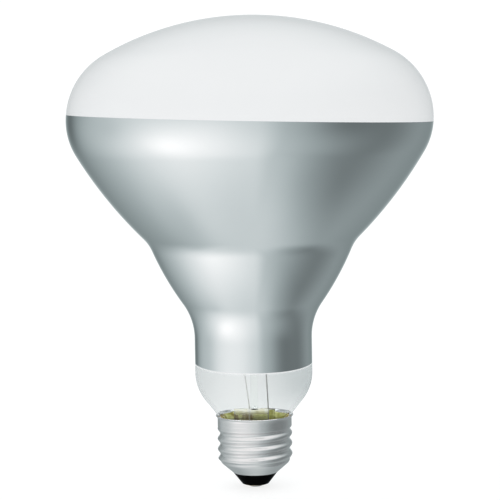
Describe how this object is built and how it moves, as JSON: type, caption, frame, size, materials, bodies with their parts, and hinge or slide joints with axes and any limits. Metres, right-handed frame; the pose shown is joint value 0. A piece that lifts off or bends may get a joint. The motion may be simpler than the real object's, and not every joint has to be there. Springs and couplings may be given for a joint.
{
  "type": "infrared heat lamp bulb",
  "caption": "Reflector heat lamp bulb: frosted dome, mirror-coated flared body and clear neck of blown glass, with a ring filament inside, on an aluminium medium screw cap.",
  "frame": {"origin": "centre of the flat tip of the solder contact, the lowest point of the lamp", "axes": "+Z along the lamp's axis from the contact to the dome; +X to the right and -Y towards the viewer in the picture"},
  "size_m": [0.127, 0.127, 0.1646],
  "materials": {
    "envelope_glass": "frosted dome, clear neck",
    "reflector_metal": "satin mirror",
    "stem_glass": "clear",
    "lead_wire": "drawn nickel wire",
    "filament_wire": "drawn tungsten wire",
    "support_wire": "drawn molybdenum wire",
    "copper_wire": "drawn copper wire",
    "cement": "fired cement, matt and lumpy",
    "shell_aluminium": "rolled, satin",
    "solder": "dull solder",
    "black_glass": "glossy, opaque",
    "contact_brass": "stamped"
  },
  "bodies": {
    "root": {"glass_envelope": "envelope_glass", "reflector_coating": "reflector_metal", "glass_stem": "stem_glass", "exhaust_tube": "stem_glass", "arbor_rod": "stem_glass", "inner_lead_left": "lead_wire", "inner_lead_right": "lead_wire", "filament_coil": "filament_wire", "support_wire_1": "support_wire", "support_wire_2": "support_wire", "support_wire_3": "support_wire", "outer_lead_side": "copper_wire", "outer_lead_centre": "copper_wire", "base_cement": "cement", "screw_shell": "shell_aluminium", "side_solder": "solder", "insulator": "black_glass", "contact_plate": "contact_brass", "contact_solder": "solder"}
  },
  "joints": []
}
